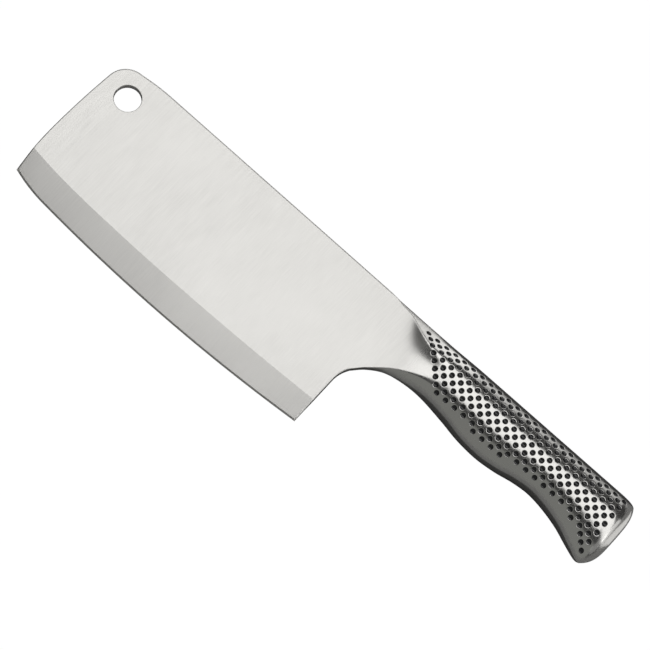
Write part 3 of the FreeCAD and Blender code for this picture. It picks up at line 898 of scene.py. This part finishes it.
def seam_sheet(station, phi):
    """Points and normals of the left skin at section angles given for each station."""
    stations = np.broadcast_to(station[:, None], phi.shape)
    return skin_point(stations, phi), skin_normal(stations, phi)


def make_seam_weld(name, node, material, station, edge_turn, outline_turn, middle_turn):
    """Seam weld between the halves: along the spine or the belly, and down half the butt.

    Its section runs from outline_turn, on the mid-plane, to edge_turn, where the shell
    starts, and the butt stretch goes on to middle_turn."""
    half = Surface()
    shares = np.linspace(0, 1, SEAM_COLUMNS + 1)
    phi = mix(outline_turn, edge_turn[:, None], shares)
    skin, normals = seam_sheet(station, phi)
    inner = closing_point(skin)
    half.add_grid(skin, normals)
    half.add_grid(inner, -normals)
    half.add_strip(skin[:, -1], inner[:, -1], (0, 0, 1))
    half.add_strip(skin[0], inner[0], (-1, 0, 0))

    butt_turns = np.linspace(edge_turn[-1], middle_turn, HANDLE_ROWS // 2)
    turns = np.concatenate([phi[-1], butt_turns[1:]])
    cap_station = np.linspace(SHELL_END, LAST_STATION, CAP_ROWS)
    cap, cap_normals = seam_sheet(cap_station,
                                  np.broadcast_to(turns, (CAP_ROWS, len(turns))))
    cap[-1, :, 2] = 0.0
    half.add_grid(cap, cap_normals)
    rim = cap[0, SEAM_COLUMNS:]
    back = closing_point(rim)
    half.add_strip(rim, back, (0, 0, 1))
    half.add_strip(back, back * (1, 1, 0), (-1, 0, 0))
    fall = mix(back[:1] * (1, 1, 0), back[:1], shares[:, None])
    half.add_strip(inner[-1], fall, (-1, 0, 0))
    half.add_strip(cap[:, -1], mix(back[-1:], back[-1:] * (1, 1, 0), shares[:, None]),
                   (0, math.copysign(1, middle_turn - outline_turn), 0))
    show(half.sided(1, -1), name, material, "weld_steel", node)


def make_neck_weld(material):
    """Ring of weld, ground flush, between the blade's neck and the two shells."""
    half = Surface()
    station = np.linspace(NECK_END, SHELL_START, CAP_ROWS)
    phi = np.broadcast_to(ROW_TURNS, (CAP_ROWS, len(ROW_TURNS)))
    skin, normals = seam_sheet(station, phi)
    inner = closing_point(skin)
    half.add_grid(skin, normals)
    half.add_grid(inner, -normals)
    half.add_strip(skin[0], inner[0], (-1, 0, 0))
    half.add_strip(skin[-1], inner[-1], (1, 0, 0))
    show(half.sided(1, -1), "neck_weld_ring", material, "weld_steel", "neck_weld")


def butt_surface_x(y, z):
    """X of the butt's surface at y and z."""
    share = np.ones_like(y)
    depth = np.zeros_like(y)
    for _ in range(BUTT_ROUNDS):
        bottom, top = butt_range(share, depth)
        v = crown_share(y, bottom, top)
        depth = np.clip(np.abs(z) / (HALF_DEPTH * np.sqrt(1 - v ** 2)), 0.0, 1.0)
        share = 1 - BUTT_ROUND * (1 - np.sqrt(1 - depth ** 2)) / BUTT_SPAN
    return mix(BUTT_START, butt_line(y), share)


def make_plug(material):
    """Round plug in the butt, a hair proud, its rim dressed down."""
    turns = np.linspace(0, 2 * math.pi, PLUG_STEPS + 1)
    plug = Surface()
    radius = np.array([ring[0] for ring in PLUG_RINGS])[:, None]
    proud = np.array([ring[1] for ring in PLUG_RINGS])[:, None]
    y = BUTT_MID_Y + radius * np.cos(turns)
    z = radius * np.sin(turns)
    normals = np.roll(slope_normals(butt_surface_x, y, z, PLUG_STEP), 1, axis=-1)
    face = np.stack([butt_surface_x(y, z) + proud, y, z], axis=-1)
    plug.add_grid(face, normals)
    back = np.stack([np.full_like(y[0], BUTT_X - WALL), y[-1], z[-1]], axis=-1)
    out = np.stack([0 * turns, np.cos(turns), np.sin(turns)], axis=-1)
    plug.add_strip(face[-1], back, out[None])
    middle = np.broadcast_to(np.array([BUTT_X - WALL, BUTT_MID_Y, 0.0]), back.shape)
    plug.add_strip(back, middle, (-1, 0, 0))
    show(plug, "butt_plug", material, "weld_steel", "fill_plug")


def make_enamel(material, places, table):
    """Black pads on the floors of the dimples."""
    left = Surface()
    add_rings(left, *pit_rings(ENAMEL_RINGS, places, table))
    points, normals = pit_rings(ENAMEL_BACK, places, table)
    add_rings(left, points, -normals)
    show(left, "left_dimple_enamel", material, "black_enamel", "dimple_enamel_left")
    show(left.sided(-1), "right_dimple_enamel", material, "black_enamel",
         "dimple_enamel_right")


# ---------------- materials

# Stretch of X over which the brushed finish of the blade gives way to the handle's satin.
SATIN_RANGE = (15.0, 26.0)
# Noise of each finish: scale along X, Y and Z, in cycles per metre, and detail.
BRUSHED = ((4200.0, 110.0, 110.0), 4.0)
GRAIN = ((5000.0, 900.0, 5000.0), 2.0)
PATCHES = ((28.0, 28.0, 28.0), 3.0)
# Noise values that give the light steel and the dark steel.
SHADE_RANGE = (0.10, 0.42)
STEEL_LIGHT = (0.80, 0.79, 0.762, 1)
STEEL_DARK = (0.73, 0.72, 0.694, 1)
BLADE_ROUGHNESS = 0.34
HANDLE_ROUGHNESS = 0.19
ROUGHNESS_RANGE = (0.3, 0.7)
ROUGHNESS_CHANGE = 0.03
STEEL_RELIEF = 0.0000021

PEEL_SCALE = 2500.0
PEEL_DETAIL = 2.0
PEEL_RELIEF = 0.00001
ENAMEL_ROUGHNESS = (0.18, 0.32)
ENAMEL_DARK = (0.006, 0.006, 0.007, 1)
ENAMEL_LIGHT = (0.014, 0.014, 0.015, 1)
ENAMEL_IOR = 1.6

SAND_SCALE = 1800.0
SAND_RELIEF = 0.0003
SAND_STRENGTH = 0.8
SAND_ROUGHNESS = 0.9
SAND_LIGHT = (0.52, 0.42, 0.28, 1)
SAND_DARK = (0.30, 0.22, 0.13, 1)


def new_material(name):
    """Material, and helpers that add a node to it and that dress its shader."""
    material = bpy.data.materials.new(name)
    material.use_nodes = True
    tree = material.node_tree

    def feed(made, sources):
        """Link or set each of the sockets named."""
        for socket, source in sources.items():
            if isinstance(source, bpy.types.NodeSocket):
                tree.links.new(source, made.inputs[socket])
            else:
                made.inputs[socket].default_value = source
        return made

    def node(kind, sources=None, **values):
        made = tree.nodes.new(kind)
        for key, value in values.items():
            setattr(made, key, value)
        return feed(made, sources or {})

    def dress(share, first, second, height, relief, strength=1.0, **more):
        """Give the shader a colour between two, a relief and more values."""
        colour = node("ShaderNodeMix", {0: share, 6: first, 7: second}, data_type="RGBA")
        bump = node("ShaderNodeBump", {"Height": height, "Strength": strength,
                                       "Distance": relief})
        feed(tree.nodes["Principled BSDF"], {"Base Color": colour.outputs[2],
                                             "Normal": bump.outputs[0], **more})

    return material, node, dress


def steel(name):
    """Stainless steel: brushed along knife Y on the blade and neck, satin on the handle."""
    material, node, dress = new_material(name)
    place = node("ShaderNodeTexCoord").outputs["Object"]
    along = node("ShaderNodeSeparateXYZ", {"Vector": place}).outputs["X"]
    starts, ends = (to_row([x, 0, 0])[0] for x in SATIN_RANGE)

    def ranged(value, low, high, **to):
        """Value, spread from low and high to 0 and 1 or to the outputs named."""
        sockets = {"Value": value, "From Min": low, "From Max": high, **to}
        return node("ShaderNodeMapRange", sockets).outputs[0]

    def noise(scale, detail):
        stretched = node("ShaderNodeMapping", {"Vector": place, "Scale": scale})
        return node("ShaderNodeTexNoise", {"Vector": stretched.outputs[0], "Scale": 1.0,
                                           "Detail": detail}).outputs[0]

    def blended(factor, first, second):
        return node("ShaderNodeMix", {0: factor, 2: first, 3: second}).outputs[0]

    satin = ranged(along, starts, ends)
    finish = blended(satin, noise(*BRUSHED), noise(*GRAIN))
    shade = node("ShaderNodeMath", {0: finish, 1: noise(*PATCHES)}, operation="MULTIPLY")
    share = ranged(shade.outputs[0], *SHADE_RANGE)
    change = ranged(finish, *ROUGHNESS_RANGE, **{"To Min": -ROUGHNESS_CHANGE,
                                                 "To Max": ROUGHNESS_CHANGE})
    level = blended(satin, BLADE_ROUGHNESS, HANDLE_ROUGHNESS)
    rough = node("ShaderNodeMath", {0: change, 1: level}, operation="ADD")
    dress(share, STEEL_LIGHT, STEEL_DARK, finish, STEEL_RELIEF, Metallic=1.0,
          Roughness=rough.outputs[0])
    return material


def enamel():
    """Black baked enamel with a little orange peel."""
    material, node, dress = new_material("black_enamel")
    place = node("ShaderNodeTexCoord").outputs["Object"]
    peel = node("ShaderNodeTexNoise", {"Vector": place, "Scale": PEEL_SCALE,
                                       "Detail": PEEL_DETAIL}).outputs[0]
    rough = node("ShaderNodeMapRange", {"Value": peel, "To Min": ENAMEL_ROUGHNESS[0],
                                        "To Max": ENAMEL_ROUGHNESS[1]})
    dress(peel, ENAMEL_DARK, ENAMEL_LIGHT, peel, PEEL_RELIEF, IOR=ENAMEL_IOR,
          Roughness=rough.outputs[0])
    return material


def sand():
    """Loose balance sand inside the handle."""
    material, node, dress = new_material("balance_sand")
    place = node("ShaderNodeTexCoord").outputs["Object"]
    grains = node("ShaderNodeTexVoronoi", {"Vector": place, "Scale": SAND_SCALE})
    depth = grains.outputs["Distance"]
    dress(depth, SAND_LIGHT, SAND_DARK, depth, SAND_RELIEF, SAND_STRENGTH,
          Roughness=SAND_ROUGHNESS)
    return material


blade_steel = steel("brushed_blade_steel")
handle_steel = steel("satin_handle_steel")
weld_steel = steel("dressed_weld_steel")
black_enamel = enamel()

# ---------------- assembly

table = SkinTable()
places = pit_places()
make_blade(blade_steel)
station, top_turn, bottom_turn = make_shells(handle_steel, places, table)
middle_turn = math.acos((BUTT_MID_Y - CROWN_Y) / (CROWN_Y - BUTT_BELLY_Y))
make_seam_weld("spine_weld", "spine_seam_weld", weld_steel, station, top_turn, 0.0,
               middle_turn)
make_seam_weld("belly_weld", "belly_seam_weld", weld_steel, station, bottom_turn, math.pi,
               middle_turn)
make_neck_weld(weld_steel)
make_plug(weld_steel)
make_enamel(black_enamel, places, table)
frame["nodes"]["balance_sand"].data.materials.clear()
frame["nodes"]["balance_sand"].data.materials.append(sand())

# ---------------- studio

CAMERA_TARGET = (-18.730, 38.869, 0.0)
CAMERA_RIGHT = (0.744916, 0.660225, 0.095931)
CAMERA_BACK = (0.117491, -0.271365, 0.955278)
CAMERA_DISTANCE = 1.4807
CAMERA_LENS = 194.4
CAMERA_NEAR = 0.05
SENSOR = 36.0

# Sheets that lie under the knife: low corner, high corner, height, grey and glow.  The
# camera sees only the floor, and the steel reflects only the others.
SHEETS = {
    "studio_floor": ((-8, -8), (8, 8), -0.0006, 0.9, 1.0, True),
    "studio_table": ((-3, -3), (3, 3), -0.0005, 0.36, 0.0),
    "belly_bounce": ((-0.6, -1.1), (0.8, -0.12), -0.0004, 0.36, 0.05),
    "spine_bounce": ((0.042, 0.113), (0.20, 3.0), -0.0004, 0.30, 0.20),
    "handle_shade": ((0.015, -0.026), (0.150, 0.100), -0.0003, 0.09, 0.0),
    "neck_bounce": ((0.0, 0.066), (0.042, 0.20), -0.0002, 0.5, 0.80),
    "far_bounce": ((-0.4, 0.20), (0.042, 3.0), -0.0002, 0.5, 0.80),
    "butt_bounce": ((0.160, 0.022), (0.7, 0.055), -0.0002, 0.5, 0.50),
}
SHEET_ROUGHNESS = 0.9

# Area lights, hidden from the camera: centre, size, the point that each faces, radiance
# and, where it isn't white, its tint.
PANELS = {
    "main_softbox": ((0.05, 0.2175, 0.60), (1.5, 0.465), (0.05, 0.2175, 0.0), 1.11),
    "end_softbox": ((2.15, 0.2175, 0.60), (2.7, 0.465), (2.15, 0.2175, 0.0), 1.11),
    "heel_softbox": ((0.1, -0.0375, 0.60), (0.56, 0.045), (0.1, -0.0375, 0.0), 1.11),
    "neck_softbox": ((-0.97, 0.29, 0.60), (0.54, 0.34), (-0.97, 0.29, 0.0), 1.30),
    "belly_fill": ((0.0, -0.78, 0.45), (2.4, 1.1), (0.0, 0.0, 0.0), 0.17, (0.98, 1.0, 0.95)),
    "spine_fill": ((0.275, 2.0, 0.275), (0.85, 0.55), (0.275, 0.0, 0.275), 0.50),
    "spine_key": ((-1.075, 2.0, 0.43), (1.85, 0.86), (-1.075, 0.0, 0.43), 0.95),
    "corner_fill": ((1.5, -0.45, 0.55), (0.9, 0.8), (0.14, 0.0, 0.02), 0.20),
    "butt_card": ((0.92, 0.21, 0.11), (0.40, 0.30), (0.15, 0.02, 0.02), 0.70),
}
WORLD_GREY = (0.04, 0.04, 0.04, 1)


def make_camera():
    back = unit(AXES @ np.array(CAMERA_BACK))
    right = AXES @ np.array(CAMERA_RIGHT)
    right = unit(right - back * (right @ back))
    up = np.cross(back, right)
    data = bpy.data.cameras.new("camera")
    data.lens = CAMERA_LENS
    data.sensor_width = SENSOR
    data.clip_start = CAMERA_NEAR
    camera = bpy.data.objects.new("camera", data)
    place = to_row(CAMERA_TARGET) + back * CAMERA_DISTANCE
    camera.matrix_world = Matrix([(*row, p) for row, p in
                                  zip(np.column_stack([right, up, back]), place)]
                                 + [(0, 0, 0, 1)])
    bpy.context.scene.collection.objects.link(camera)
    bpy.context.scene.camera = camera


def make_panel(name, centre, size, aim, radiance, tint=(1.0, 1.0, 1.0)):
    """Area light that the steel reflects as an even panel."""
    data = bpy.data.lights.new(name, "AREA")
    data.shape = "RECTANGLE"
    data.size, data.size_y = size
    data.energy = radiance * math.pi * size[0] * size[1]
    data.color = tint
    light = bpy.data.objects.new(name, data)
    direction = Vector(aim) - Vector(centre)
    light.matrix_world = Matrix.Translation(centre) \
        @ direction.to_track_quat("-Z", "Y").to_matrix().to_4x4()
    light.visible_camera = False
    bpy.context.scene.collection.objects.link(light)


def make_sheet(name, low, high, height, grey, glow, seen=False):
    """Flat stage sheet, either seen by the camera or only reflected by the steel."""
    data = bpy.data.meshes.new(name)
    data.from_pydata([(low[0], low[1], 0), (high[0], low[1], 0), (high[0], high[1], 0),
                      (low[0], high[1], 0)], [], [(0, 1, 2, 3)])
    sheet = bpy.data.objects.new(name, data)
    sheet.location.z = height
    bpy.context.scene.collection.objects.link(sheet)
    material = bpy.data.materials.new(name)
    material.use_nodes = True
    shader = material.node_tree.nodes["Principled BSDF"]
    shader.inputs["Base Color"].default_value = (grey, grey, grey, 1)
    shader.inputs["Roughness"].default_value = SHEET_ROUGHNESS
    shader.inputs["Specular IOR Level"].default_value = 0.0
    shader.inputs["Emission Color"].default_value = (1, 1, 1, 1)
    shader.inputs["Emission Strength"].default_value = glow
    data.materials.append(material)
    sheet.visible_camera = seen
    sheet.visible_glossy = not seen
    sheet.visible_diffuse = not seen


def make_world():
    world = bpy.data.worlds.new("studio")
    world.use_nodes = True
    background = world.node_tree.nodes["Background"]
    background.inputs["Color"].default_value = WORLD_GREY
    bpy.context.scene.world = world


make_camera()
make_world()
for name, values in SHEETS.items():
    make_sheet(name, *values)
for name, values in PANELS.items():
    make_panel(name, *values)
bpy.context.scene.view_settings.view_transform = "Standard"
